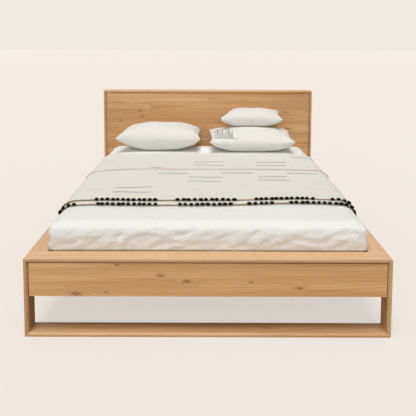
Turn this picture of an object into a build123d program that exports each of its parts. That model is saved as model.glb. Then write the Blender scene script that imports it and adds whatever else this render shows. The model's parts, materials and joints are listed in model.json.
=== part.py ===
"""Platform bed with a full-width foot drawer, a slatted base and made-up bedding.

Frame: origin on the floor at the centre of the footprint, +X to the right, +Y towards the head
and +Z up, so the foot of the bed faces -Y.  All sizes are in millimetres.
"""

import os
from math import cos, radians, sin

from build123d import *

os.makedirs("parts", exist_ok=True)

# ---- mattress and the clear space that holds it ----
mattress_width = 1530.0
mattress_length = 2030.0
mattress_thickness = 165.0
mattress_corner = 60.0
mattress_side_gap = 4.0
mattress_end_gap = 5.0
mattress_sink = 34.0  # how far the mattress sits below the top of the rails

# ---- end loops, each of four mitred boards ----
loop_depth = 104.0
board = 18.0
edge_flat = 10.0  # square part of a board's front edge, the rest is bevelled
foot_height = 374.0
head_height = 958.0
key_thickness = 4.0
key_width = 14.0
key_length = 60.0

# ---- inset panels and side rails ----
rail_top_width = 86.0
apron_recess = 8.0
panel = 20.0
panel_reveal = 4.0
panel_height = 158.5
plank_width = 262.0
tongue_thickness = 6.0
tongue_height = 8.0
batten_width = 60.0
batten_thickness = 18.0
batten_end_margin = 40.0
batten_screw_shares = (0.25, 0.75)  # of a plank's height, for its two screws
cleat_width = 20.0
cleat_end_gap = 10.0
inner_rail = 20.0

# ---- blocks and connector bolts ----
corner_block_depth = 60.0
end_block_length = 120.0
spacer_block_length = 80.0
spacer_block_shares = (-1 / 6, 1 / 6)  # of the clear length, from its middle
block_lift = 5.0  # underside of the blocks above the underside of the panels
bolt_radius = 4.0
bolt_head_radius = 8.0
bolt_head_height = 6.0
bolt_bite = 55.0  # length of bolt past the joint face
bolt_edge = 35.0  # from the ends of the blocks to the bolts
barrel_radius = 6.0
barrel_end_gap = 4.0
barrel_inset = 45.0
bumper_radius = 8.0
bumper_gap = 0.5

# ---- slatted base ----
slat_count = 13
slat_width = 70.0
slat_thickness = 15.0
slat_end_gap = 2.0
ledger_width = 30.0
ledger_height = 25.0
cross_rail = 24.0
cross_rail_drop = 35.0  # underside of the cross rails below the slats
beam_size = 40.0
beam_wall = 2.0
bracket_plate = 3.0
bracket_seat = 40.0
leg_radius = 16.0
leg_wall = 2.0
leg_plate = 60.0
leg_pad_radius = 24.0
leg_pad_height = 10.0
leg_pad_plug = 25.0
leg_clear_of_drawer = 156.0

# ---- foot drawer ----
drawer_board = 12.0
drawer_front_board = 16.0
front_screw_shares = (-0.75, -0.25, 0.25, 0.75)  # of the half width of the front
drawer_bottom = 6.0
drawer_groove = 6.0
drawer_lift = 8.0  # underside of the box above the underside of its front
drawer_head_clearance = 3.0
grip_bevel = 8.0
divider_drop = 9.0  # how far the divider stops below the drawer's rim

# ---- telescopic slides ----
slide_thickness = 12.7
slide_length = 600.0
slide_height = 45.0
slide_setback = 20.0
slide_sheet = 1.2
slide_play = 0.8

# ---- wood screws ----
screw_radius = 2.0
screw_head_radius = 4.5
screw_head_height = 2.5
screw_length = 33.0

# ---- bedding ----
duvet_loft = 17.0
duvet_side = 9.0
duvet_above_rail = 1.5
throw_layer = 4.0
throw_front = 370.0  # from the foot's front face to the lower layer's edge
throw_fold_step = 56.0
throw_head_gap = 490.0  # from the headboard to the throw
throw_drop = 112.0
trim_width = 18.0
trim_height = 12.0
soft_gap = 0.3
pillow_gap = 2.0
pillow_roundness = 0.43  # of a pillow's thickness
# width, length, thickness, tilt in degrees, and inset from the mattress's side
left_pillow_size = (660.0, 400.0, 150.0, 12.0, 57.0)
right_pillow_size = (672.0, 422.0, 130.0, 8.0, 91.0)
small_pillow_size = (510.0, 270.0, 85.0, 15.0, 172.0)

# ---- clearances ----
glue_gap = 0.1
running_gap = 0.1
hole_gap = 0.1

# ---- sizes that follow from the ones above ----
inner_width = mattress_width + 2 * mattress_side_gap
inner_length = mattress_length + 2 * mattress_end_gap
bed_width = inner_width + 2 * rail_top_width
bed_length = inner_length + 2 * loop_depth
bevel = board - edge_flat

foot_front = -bed_length / 2
foot_back = foot_front + loop_depth
head_back = bed_length / 2
head_front = head_back - loop_depth

half_inner = inner_width / 2
half_bed = bed_width / 2
half_panel = half_bed - board - panel_reveal
inner_rail_outside = half_inner + inner_rail
apron_outside = half_bed - apron_recess
apron_inside = apron_outside - panel

rail_underside = foot_height - board
foot_panel_top = rail_underside - panel_reveal
panel_underside = foot_panel_top - panel_height
head_panel_top = head_height - board - panel_reveal
drawer_face = foot_front + bevel
drawer_face_back = drawer_face + panel
head_panel_face = head_front + bevel
head_panel_back = head_panel_face + panel

slat_top = foot_height - mattress_sink
slat_underside = slat_top - slat_thickness
beam_underside = slat_underside - beam_size
cross_rail_underside = slat_underside - cross_rail_drop
head_cross_front = head_panel_face - cross_rail
mattress_top = slat_top + mattress_thickness

block_underside = panel_underside + block_lift
bolt_heights = (block_underside + bolt_edge, slat_top - bolt_edge)
bolt_x = (inner_rail_outside + apron_inside) / 2
barrel_length = apron_inside - inner_rail_outside - 2 * barrel_end_gap

sides = {"left": -1, "right": 1}


def box_between(x_span, y_span, z_span, mode=Mode.ADD):
    """Add a box that reaches from the low to the high value of each span."""
    spans = (x_span, y_span, z_span)
    middle = tuple((low + high) / 2 for low, high in spans)
    with Locations(middle):
        Box(*(high - low for low, high in spans), mode=mode)


def side_span(side, inner, outer):
    """X span between two distances from the centre line, on the left or the right side."""
    return (inner, outer) if side > 0 else (-outer, -inner)


def rod(radius, start, axis, length, mode=Mode.ADD):
    """Add a round bar from a start point along an axis direction."""
    with BuildSketch(Plane(origin=start, z_dir=axis)) as section:
        Circle(radius)
    extrude(section.sketch, amount=length, mode=mode)


def finish(builder, name):
    """Name a finished sub-part and write its STEP file."""
    builder.part.label = name
    export_step(builder.part, f"parts/{name}.step")


# =============================================================================================
# End loops: top board, two legs and floor stretcher, mitred and keyed at the corners
# =============================================================================================
def key_planes(front, height):
    """One plane for each corner, lying across its mitre, where the key's section is drawn."""
    planes = []
    for side in sides.values():
        for up, z in ((-1, board / 2), (1, height - board / 2)):
            middle = (side * (half_bed - board / 2), front + (loop_depth - key_length) / 2, z)
            planes.append(Plane(origin=middle, x_dir=(side, 0, -up), z_dir=(0, 1, 0)))
    return planes


def loop_outlines(height):
    """Mitred outlines in X and Z of a loop's four boards."""
    inner = half_bed - board
    top = height - board
    return {
        "top_board": ((-half_bed, height), (half_bed, height), (inner, top), (-inner, top)),
        "bottom_stretcher": ((-half_bed, 0), (half_bed, 0), (inner, board), (-inner, board)),
        "left_leg": ((-half_bed, 0), (-inner, board), (-inner, top), (-half_bed, height)),
        "right_leg": ((half_bed, 0), (inner, board), (inner, top), (half_bed, height)),
    }


def make_loop(prefix, front, height):
    """Write the four boards of one loop, its front edges bevelled towards the opening."""
    for suffix, outline in loop_outlines(height).items():
        with BuildPart() as loop_board:
            with BuildSketch(Plane.XZ.offset(-(front + loop_depth))):
                with BuildLine():
                    Polyline(*outline, close=True)
                make_face()
            extrude(amount=loop_depth)
            front_edges = loop_board.edges().group_by(Axis.Y)[0]
            inner_edge = front_edges.sort_by_distance((0, front, height / 2))[0]
            chamfer(inner_edge, length=bevel)
            with BuildSketch(*key_planes(front - glue_gap, height)):
                Rectangle(key_width + 2 * glue_gap, key_thickness + 2 * glue_gap)
            extrude(amount=key_length + 2 * glue_gap, mode=Mode.SUBTRACT)
        finish(loop_board, f"{prefix}_{suffix}")


make_loop("foot", foot_front, foot_height)
make_loop("head", head_front, head_height)

with BuildPart() as mitre_keys:
    corner_planes = key_planes(foot_front, foot_height) + key_planes(head_front, head_height)
    with BuildSketch(*corner_planes):
        Rectangle(key_width, key_thickness)
    extrude(amount=key_length)
finish(mitre_keys, "mitre_keys")

# =============================================================================================
# Headboard: three tongued planks, battens and cleats behind them
# =============================================================================================
plank_names = ("upper", "middle", "lower")
plank_tops = [head_panel_top - row * plank_width for row in range(len(plank_names))]
plank_undersides = plank_tops[1:] + [panel_underside]
panel_middle = (head_panel_face + head_panel_back) / 2
tongue_span = (panel_middle - tongue_thickness / 2, panel_middle + tongue_thickness / 2)
groove_span = (tongue_span[0] - glue_gap, tongue_span[1] + glue_gap)

cleat_top = head_height - board
cleat_underside = cleat_top - cleat_width
batten_span = (head_panel_back, head_panel_back + batten_thickness)
batten_xs = (-bed_width / 3, 0.0, bed_width / 3)
batten_underside = panel_underside + batten_end_margin
batten_top = cleat_underside - cleat_end_gap


def batten_screw_points():
    """Screw points on the back of the battens, two to a plank for each batten."""
    points = []
    for x in batten_xs:
        for top, underside in zip(plank_tops, plank_undersides):
            low = max(underside, batten_underside)
            high = min(top, batten_top)
            for share in batten_screw_shares:
                points.append((x, batten_span[1], low + share * (high - low)))
    return points


for row, name in enumerate(plank_names):
    with BuildPart() as plank:
        box_between(
            (-half_panel, half_panel),
            (head_panel_face, head_panel_back),
            (plank_undersides[row], plank_tops[row]),
        )
        if name != "upper":
            box_between(
                (-half_panel, half_panel),
                tongue_span,
                (plank_tops[row], plank_tops[row] + tongue_height - glue_gap),
            )
        if name != "lower":
            box_between(
                (-half_panel, half_panel),
                groove_span,
                (plank_undersides[row], plank_undersides[row] + tongue_height),
                mode=Mode.SUBTRACT,
            )
        for x, y, z in batten_screw_points():
            if plank_undersides[row] < z < plank_tops[row]:
                rod(screw_radius + hole_gap, (x, y, z), (0, -1, 0), screw_length, Mode.SUBTRACT)
        if name == "lower":
            for side in sides.values():
                for z in bolt_heights:
                    hole_start = (side * bolt_x, head_panel_face, z)
                    rod(bolt_radius + hole_gap, hole_start, (0, 1, 0), panel, Mode.SUBTRACT)
    finish(plank, f"headboard_plank_{name}")

with BuildPart() as headboard_battens:
    for x in batten_xs:
        box_between(
            (x - batten_width / 2, x + batten_width / 2),
            batten_span,
            (batten_underside, batten_top),
        )
    for point in batten_screw_points():
        rod(screw_radius + hole_gap, point, (0, -1, 0), batten_thickness, Mode.SUBTRACT)
finish(headboard_battens, "headboard_battens")

with BuildPart() as headboard_screws:
    for x, y, z in batten_screw_points():
        rod(screw_head_radius, (x, y, z), (0, 1, 0), screw_head_height)
        rod(screw_radius, (x, y, z), (0, -1, 0), screw_length)
finish(headboard_screws, "headboard_screws")

with BuildPart() as headboard_cleats:
    top_reach = half_bed - board - cleat_width - cleat_end_gap
    box_between((-top_reach, top_reach), batten_span, (cleat_underside, cleat_top))
    for side in sides.values():
        box_between(
            side_span(side, half_bed - board - cleat_width, half_bed - board),
            batten_span,
            (slat_top + cleat_end_gap, cleat_underside - cleat_end_gap),
        )
finish(headboard_cleats, "headboard_cleats")

# =============================================================================================
# Side rails: top board, inset apron, inner board and slat ledger
# =============================================================================================
inner_rail_front = foot_back - corner_block_depth
ledger_underside = slat_underside - ledger_height
slat_step = (head_cross_front - foot_back) / slat_count
slat_ys = [foot_back + (index + 0.5) * slat_step for index in range(slat_count)]
slat_screw_x = half_inner - ledger_width / 2
slat_screw_points = [
    (side * slat_screw_x, y, slat_top) for y in slat_ys for side in sides.values()
]

for side_name, side in sides.items():
    with BuildPart() as rail_top:
        box_between(
            side_span(side, half_inner, half_bed),
            (foot_back, head_front),
            (rail_underside, foot_height),
        )
        low_edges = rail_top.edges().filter_by(Axis.Y).group_by(Axis.Z)[0]
        chamfer(low_edges.sort_by_distance((0, 0, rail_underside))[-1], length=apron_recess)
    finish(rail_top, f"{side_name}_rail_top")

    with BuildPart() as rail_apron:
        box_between(
            side_span(side, apron_inside, apron_outside),
            (foot_back, head_front),
            (panel_underside, foot_panel_top),
        )
    finish(rail_apron, f"{side_name}_rail_apron")

    with BuildPart() as rail_inner:
        box_between(
            side_span(side, half_inner, inner_rail_outside),
            (inner_rail_front, head_panel_face),
            (panel_underside, rail_underside),
        )
    finish(rail_inner, f"{side_name}_rail_inner")

    with BuildPart() as slat_ledger:
        box_between(
            side_span(side, half_inner - ledger_width, half_inner),
            (foot_back, head_cross_front),
            (ledger_underside, slat_underside),
        )
        for x, y, z in slat_screw_points:
            if x * side > 0:
                rod(screw_radius + hole_gap, (x, y, z), (0, 0, -1), screw_length, Mode.SUBTRACT)
    finish(slat_ledger, f"{side_name}_slat_ledger")

# =============================================================================================
# Corner blocks, rail blocks, connector bolts and drawer bumpers
# =============================================================================================
foot_block_span = (inner_rail_front, foot_back)
head_block_span = (head_panel_back, head_panel_back + corner_block_depth)
foot_end_span = (foot_back, foot_back + end_block_length)
head_end_span = (head_panel_face - end_block_length, head_panel_face)

bolt_places = []
for side in sides.values():
    for z in bolt_heights:
        bolt_places.append((side * bolt_x, foot_block_span[0], z, 1))
        bolt_places.append((side * bolt_x, head_block_span[1], z, -1))
foot_bolt_length = corner_block_depth + bolt_bite
head_bolt_length = corner_block_depth + panel + bolt_bite


def bolt_length(towards_head):
    """Shank length of a foot bolt, which points to the head, or of a head bolt."""
    return foot_bolt_length if towards_head > 0 else head_bolt_length


def barrel_start(x, z, towards_head):
    """Left end of the barrel nut that a bolt screws into."""
    joint = foot_back if towards_head > 0 else head_panel_face
    return (x - barrel_length / 2, joint + towards_head * barrel_inset, z)


def cut_bolt_holes():
    """Cut clearance holes for every connector bolt from the part that is being built."""
    for x, y, z, towards_head in bolt_places:
        length = bolt_length(towards_head) + hole_gap
        rod(bolt_radius + hole_gap, (x, y, z), (0, towards_head, 0), length, Mode.SUBTRACT)


for end_name, y_span in (("foot", foot_block_span), ("head", head_block_span)):
    with BuildPart() as corner_blocks:
        block_top = rail_underside if end_name == "foot" else slat_top
        for side in sides.values():
            box_between(
                side_span(side, inner_rail_outside, half_bed - board),
                y_span,
                (block_underside, block_top),
            )
        cut_bolt_holes()
    finish(corner_blocks, f"{end_name}_corner_blocks")

with BuildPart() as rail_end_blocks:
    for side in sides.values():
        for y_span in (foot_end_span, head_end_span):
            box_between(
                side_span(side, inner_rail_outside, apron_inside),
                y_span,
                (block_underside, rail_underside),
            )
    cut_bolt_holes()
    for x, y, z, towards_head in bolt_places:
        start = barrel_start(x, z, towards_head)
        rod(barrel_radius + hole_gap, start, (1, 0, 0), barrel_length, Mode.SUBTRACT)
finish(rail_end_blocks, "rail_end_blocks")

with BuildPart() as rail_spacer_blocks:
    for side in sides.values():
        for share in spacer_block_shares:
            middle = share * inner_length
            box_between(
                side_span(side, inner_rail_outside, apron_inside),
                (middle - spacer_block_length / 2, middle + spacer_block_length / 2),
                (block_underside, rail_underside),
            )
finish(rail_spacer_blocks, "rail_spacer_blocks")

with BuildPart() as connector_bolts:
    for x, y, z, towards_head in bolt_places:
        along = (0, towards_head, 0)
        outward = (0, -towards_head, 0)
        rod(bolt_radius, (x, y, z), along, bolt_length(towards_head))
        rod(bolt_head_radius, (x, y, z), outward, bolt_head_height)
finish(connector_bolts, "connector_bolts")

with BuildPart() as barrel_nuts:
    for x, y, z, towards_head in bolt_places:
        rod(barrel_radius, barrel_start(x, z, towards_head), (1, 0, 0), barrel_length)
    cut_bolt_holes()
finish(barrel_nuts, "barrel_nuts")

with BuildPart() as drawer_bumpers:
    bumper_reach = foot_block_span[0] - drawer_face_back - bumper_gap
    bumper_height = sum(bolt_heights) / 2
    for side in sides.values():
        rod(
            bumper_radius,
            (side * bolt_x, foot_block_span[0], bumper_height),
            (0, -1, 0),
            bumper_reach,
        )
finish(drawer_bumpers, "drawer_bumpers")

# =============================================================================================
# Slatted base: cross rails, steel centre beam on brackets, centre legs and slats
# =============================================================================================
with BuildPart() as foot_cross_rail:
    box_between(
        (-half_inner, half_inner),
        (foot_back - cross_rail, foot_back),
        (cross_rail_underside, rail_underside),
    )
finish(foot_cross_rail, "foot_cross_rail")

with BuildPart() as head_cross_rail:
    box_between(
        (-half_inner, half_inner),
        (head_cross_front, head_panel_face),
        (cross_rail_underside, slat_top),
    )
finish(head_cross_rail, "head_cross_rail")

beam_front = foot_back + bracket_plate
beam_back = head_cross_front - bracket_plate
with BuildPart() as centre_beam:
    with BuildSketch(Plane.XZ.offset(-beam_back)):
        with Locations((0, beam_underside + beam_size / 2)):
            Rectangle(beam_size, beam_size)
            Rectangle(beam_size - 2 * beam_wall, beam_size - 2 * beam_wall, mode=Mode.SUBTRACT)
    extrude(amount=beam_back - beam_front)
finish(centre_beam, "centre_beam")

with BuildPart() as beam_brackets:
    seat_top = beam_underside
    seat_underside = seat_top - bracket_plate
    cheek = beam_size / 2 + glue_gap
    for plate_span, seat_span in (
        ((foot_back, beam_front), (beam_front, beam_front + bracket_seat)),
        ((beam_back, head_cross_front), (beam_back - bracket_seat, beam_back)),
    ):
        wide = (-cheek - bracket_plate, cheek + bracket_plate)
        box_between(wide, plate_span, (seat_underside, slat_underside))
        box_between(wide, seat_span, (seat_underside, seat_top))
        for side in sides.values():
            cheek_span = side_span(side, cheek, cheek + bracket_plate)
            box_between(cheek_span, seat_span, (seat_top, slat_underside - bracket_plate))
finish(beam_brackets, "beam_brackets")

drawer_back = drawer_face_back + 2 * slide_setback + slide_length
first_leg_y = drawer_back + leg_clear_of_drawer
leg_ys = (first_leg_y, (first_leg_y + head_cross_front) / 2)
leg_top = beam_underside - bracket_plate
with BuildPart() as centre_legs:
    for y in leg_ys:
        half_plate = leg_plate / 2
        plate_y_span = (y - half_plate, y + half_plate)
        box_between((-half_plate, half_plate), plate_y_span, (leg_top, beam_underside))
        rod(leg_radius, (0, y, leg_pad_height), (0, 0, 1), leg_top - leg_pad_height)
        bore_length = leg_top - leg_pad_height
        rod(leg_radius - leg_wall, (0, y, leg_pad_height), (0, 0, 1), bore_length, Mode.SUBTRACT)
finish(centre_legs, "centre_legs")

with BuildPart() as leg_pads:
    for y in leg_ys:
        rod(leg_pad_radius, (0, y, 0), (0, 0, 1), leg_pad_height)
        plug_radius = leg_radius - leg_wall - glue_gap
        rod(plug_radius, (0, y, leg_pad_height), (0, 0, 1), leg_pad_plug)
finish(leg_pads, "leg_pads")

with BuildPart() as slats:
    for y in slat_ys:
        box_between(
            (slat_end_gap - half_inner, half_inner - slat_end_gap),
            (y - slat_width / 2, y + slat_width / 2),
            (slat_underside, slat_top),
        )
    for x, y, z in slat_screw_points:
        rod(screw_radius + hole_gap, (x, y, z), (0, 0, -1), slat_thickness, Mode.SUBTRACT)
        head_depth = screw_head_height + hole_gap
        rod(screw_head_radius + hole_gap, (x, y, z), (0, 0, -1), head_depth, Mode.SUBTRACT)
finish(slats, "slats")

with BuildPart() as slat_screws:
    for point in slat_screw_points:
        rod(screw_head_radius, point, (0, 0, -1), screw_head_height)
        rod(screw_radius, point, (0, 0, -1), screw_length)
finish(slat_screws, "slat_screws")

# =============================================================================================
# Foot drawer: inset front and a plain box with a bottom let into grooves
# =============================================================================================
box_underside = panel_underside + drawer_lift
box_rim = beam_underside - bracket_plate - drawer_head_clearance
box_half = half_inner - slide_thickness - running_gap
box_inside = box_half - drawer_board
box_front = drawer_face_back
box_front_back = box_front + drawer_front_board
back_board_front = drawer_back - drawer_board
bottom_underside = box_underside + drawer_groove
bottom_top = bottom_underside + drawer_bottom
front_screw_xs = [share * half_panel for share in front_screw_shares]
front_screw_z = (bottom_top + box_rim) / 2


def cut_bottom_groove():
    """Cut the groove that holds the drawer's bottom from the part that is being built."""
    reach = box_inside + drawer_groove
    box_between(
        (-reach, reach),
        (box_front_back - drawer_groove, drawer_back),
        (bottom_underside, bottom_top + glue_gap),
        mode=Mode.SUBTRACT,
    )


with BuildPart() as drawer_front:
    box_between(
        (-half_panel, half_panel),
        (drawer_face, drawer_face_back),
        (panel_underside, foot_panel_top),
    )
    back_edges = drawer_front.edges().filter_by(Axis.X).group_by(Axis.Y)[-1]
    chamfer(back_edges.sort_by(Axis.Z)[0], length=grip_bevel)
    for x in front_screw_xs:
        hole_start = (x, drawer_face_back, front_screw_z)
        hole_depth = screw_length - drawer_front_board + hole_gap
        rod(screw_radius + hole_gap, hole_start, (0, -1, 0), hole_depth, Mode.SUBTRACT)
finish(drawer_front, "drawer_front")

with BuildPart() as drawer_box_front:
    box_between(
        (-box_inside, box_inside), (box_front, box_front_back), (box_underside, box_rim)
    )
    cut_bottom_groove()
    for x in front_screw_xs:
        hole_start = (x, box_front_back, front_screw_z)
        rod(screw_radius + hole_gap, hole_start, (0, -1, 0), drawer_front_board, Mode.SUBTRACT)
finish(drawer_box_front, "drawer_box_front")

for side_name, side in sides.items():
    with BuildPart() as drawer_side:
        box_between(
            side_span(side, box_inside, box_half),
            (box_front, drawer_back),
            (box_underside, box_rim),
        )
        cut_bottom_groove()
    finish(drawer_side, f"drawer_side_{side_name}")

with BuildPart() as drawer_back_board:
    box_between(
        (-box_inside, box_inside), (back_board_front, drawer_back), (bottom_top, box_rim)
    )
finish(drawer_back_board, "drawer_back")

with BuildPart() as drawer_bottom_panel:
    bottom_reach = box_inside + drawer_groove - glue_gap
    box_between(
        (-bottom_reach, bottom_reach),
        (box_front_back - drawer_groove + glue_gap, drawer_back),
        (bottom_underside, bottom_top),
    )
finish(drawer_bottom_panel, "drawer_bottom")

with BuildPart() as drawer_divider:
    box_between(
        (-drawer_board / 2, drawer_board / 2),
        (box_front_back, back_board_front),
        (bottom_top, box_rim - divider_drop),
    )
finish(drawer_divider, "drawer_divider")

with BuildPart() as drawer_front_screws:
    for x in front_screw_xs:
        start = (x, box_front_back, front_screw_z)
        rod(screw_head_radius, start, (0, 1, 0), screw_head_height)
        rod(screw_radius, start, (0, -1, 0), screw_length)
finish(drawer_front_screws, "drawer_front_screws")

# =============================================================================================
# Telescopic slides: fixed, middle and drawer members nested as three channels
# =============================================================================================
slide_front = box_front + slide_setback
slide_back = slide_front + slide_length
slide_middle_z = (box_underside + box_rim) / 2
nest_step = slide_sheet + slide_play


def channel(side, web_span, flange_tip, half_height):
    """Add a channel: a web across web_span with a flange along its top and its bottom edge."""
    y_span = (slide_front, slide_back)
    low, high = slide_middle_z - half_height, slide_middle_z + half_height
    box_between(side_span(side, *web_span), y_span, (low, high))
    flange_span = (min(flange_tip, web_span[0]), max(flange_tip, web_span[1]))
    for flange in ((low, low + slide_sheet), (high - slide_sheet, high)):
        box_between(side_span(side, *flange_span), y_span, flange)


for side_name, side in sides.items():
    half_fixed = slide_height / 2
    half_middle = half_fixed - nest_step
    half_moving = half_middle - nest_step
    fixed_web = (half_inner - slide_sheet, half_inner)
    middle_web = (fixed_web[0] - nest_step, fixed_web[0] - slide_play)
    moving_web = (box_half, box_half + slide_sheet)
    flange_tip = moving_web[1] + slide_play / 2

    with BuildPart() as fixed_member:
        channel(side, fixed_web, flange_tip, half_fixed)
    finish(fixed_member, f"slide_fixed_{side_name}")

    with BuildPart() as middle_member:
        channel(side, middle_web, flange_tip, half_middle)
    finish(middle_member, f"slide_middle_{side_name}")

    with BuildPart() as moving_member:
        channel(side, moving_web, middle_web[0] - slide_play, half_moving)
    finish(moving_member, f"slide_moving_{side_name}")

# =============================================================================================
# Bedding: plain solids for the mattress, duvet, throw and pillows
# =============================================================================================
duvet_top = mattress_top + duvet_loft
throw_top = duvet_top + 2 * throw_layer
half_mattress = mattress_width / 2
half_duvet = half_mattress + duvet_side
half_throw = half_duvet + soft_gap + throw_layer
duvet_underside = foot_height + duvet_above_rail
throw_front_y = foot_front + throw_front
throw_back_y = head_panel_face - throw_head_gap

with BuildPart() as mattress:
    half_length = mattress_length / 2
    box_between(
        (-half_mattress, half_mattress), (-half_length, half_length), (slat_top, mattress_top)
    )
    fillet(mattress.edges().filter_by(Axis.Z), radius=mattress_corner)
finish(mattress, "mattress")

with BuildPart() as duvet:
    duvet_corner = mattress_corner + duvet_side
    box_between(
        (-half_duvet, half_duvet),
        (-half_length - mattress_end_gap, half_length),
        (duvet_underside, duvet_top),
    )
    front_corners = duvet.edges().filter_by(Axis.Z).group_by(Axis.Y)[0]
    fillet(front_corners, radius=duvet_corner)
    with BuildSketch(Plane.XY.offset(duvet_underside)):
        Rectangle(mattress_width + 2 * soft_gap, mattress_length + 2 * soft_gap)
        fillet(vertices(), radius=mattress_corner + soft_gap)
    extrude(amount=mattress_top - duvet_underside, mode=Mode.SUBTRACT)
    box_between(
        (-half_mattress - soft_gap, half_mattress + soft_gap),
        (half_length - 2 * mattress_corner, half_length),
        (duvet_underside, mattress_top),
        mode=Mode.SUBTRACT,
    )
finish(duvet, "duvet")

with BuildPart() as throw:
    throw_underside = duvet_top - throw_drop
    box_between(
        (-half_throw, half_throw),
        (throw_front_y, throw_back_y),
        (throw_underside, duvet_top + throw_layer),
    )
    box_between(
        (-half_duvet - soft_gap, half_duvet + soft_gap),
        (throw_front_y, throw_back_y),
        (throw_underside, duvet_top),
        mode=Mode.SUBTRACT,
    )
    box_between(
        (-half_throw, half_throw),
        (throw_front_y + throw_fold_step, throw_back_y),
        (duvet_top + throw_layer, throw_top),
    )
finish(throw, "throw")

with BuildPart() as pompom_trim:
    trim_reach = half_duvet
    for edge, underside in (
        (throw_front_y, duvet_top),
        (throw_front_y + throw_fold_step, duvet_top + throw_layer),
    ):
        box_between(
            (-trim_reach, trim_reach),
            (edge - trim_width, edge),
            (underside, underside + trim_height),
        )
finish(pompom_trim, "pompom_trim")


def make_pillow(name, size, side, rests_on):
    """Write a tilted cushion, its low edge at a height and its back close to the headboard.

    The inset is from the mattress's side on that side.  Returns the height of its highest point.
    """
    width, length, thickness, tilt, inset = size
    centre_x = side * (half_mattress - inset - width / 2)
    roundness = pillow_roundness * thickness
    straight_length = length / 2 - roundness
    straight_thickness = thickness / 2 - roundness
    rise, run = sin(radians(tilt)), cos(radians(tilt))
    half_depth = straight_length * run + straight_thickness * rise + roundness
    half_rise = straight_length * rise + straight_thickness * run + roundness
    centre = (
        centre_x,
        head_panel_face - pillow_gap - half_depth,
        rests_on + half_rise,
    )
    with BuildPart() as pillow:
        with Locations(Location(centre, (tilt, 0, 0))):
            Box(width, length, thickness)
        fillet(pillow.edges(), radius=roundness)
    finish(pillow, name)
    return centre[2] + half_rise


left, right = sides["left"], sides["right"]
make_pillow("left_pillow", left_pillow_size, left, duvet_top)
right_top = make_pillow("right_pillow", right_pillow_size, right, duvet_top)
make_pillow("small_pillow", small_pillow_size, right, right_top + pillow_gap)
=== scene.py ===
import json
import math
import random

import bmesh
import bpy
import numpy as np
from mathutils import Matrix, Vector, noise
from mathutils.bvhtree import BVHTree


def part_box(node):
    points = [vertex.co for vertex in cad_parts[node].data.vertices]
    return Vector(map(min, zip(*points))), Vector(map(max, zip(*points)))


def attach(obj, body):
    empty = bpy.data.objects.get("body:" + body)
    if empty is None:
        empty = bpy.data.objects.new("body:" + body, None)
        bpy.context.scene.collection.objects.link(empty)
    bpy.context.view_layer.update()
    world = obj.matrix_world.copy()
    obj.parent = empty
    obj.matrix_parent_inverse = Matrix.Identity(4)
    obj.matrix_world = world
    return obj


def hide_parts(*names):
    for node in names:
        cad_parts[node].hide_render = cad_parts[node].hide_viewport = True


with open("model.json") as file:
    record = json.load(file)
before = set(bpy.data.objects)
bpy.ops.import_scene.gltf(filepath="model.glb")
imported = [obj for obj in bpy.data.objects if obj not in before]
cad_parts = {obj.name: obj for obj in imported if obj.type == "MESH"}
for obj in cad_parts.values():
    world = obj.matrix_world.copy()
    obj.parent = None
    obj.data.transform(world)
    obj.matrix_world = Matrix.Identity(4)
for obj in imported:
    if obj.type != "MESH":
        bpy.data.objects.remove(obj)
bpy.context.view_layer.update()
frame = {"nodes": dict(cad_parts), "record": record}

ROOT = "bed_frame"
nodes = frame["nodes"]
scene = bpy.context.scene

# Boxes of the soft CAD solids, in metres.
MATTRESS_LOW, MATTRESS_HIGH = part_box("mattress")
DUVET_LOW, DUVET_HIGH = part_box("duvet")
THROW_LOW, THROW_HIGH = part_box("throw")


# ---------------------------------------------------------------------------------------------
# Materials
# ---------------------------------------------------------------------------------------------
class Nodes:
    """A short way to write a node tree."""

    def __init__(self, tree):
        self.tree = tree
        tree.nodes.clear()

    def feed(self, node, inputs):
        """Set inputs, by their keys, to values or to other nodes' sockets."""
        for key, value in inputs.items():
            if isinstance(value, bpy.types.NodeSocket):
                self.tree.links.new(value, node.inputs[key])
            else:
                node.inputs[key].default_value = value

    def add(self, kind, inputs=None, **settings):
        """Add a node with plain settings and its inputs."""
        node = self.tree.nodes.new(kind)
        for key, value in settings.items():
            setattr(node, key, value)
        self.feed(node, inputs or {})
        return node


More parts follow.
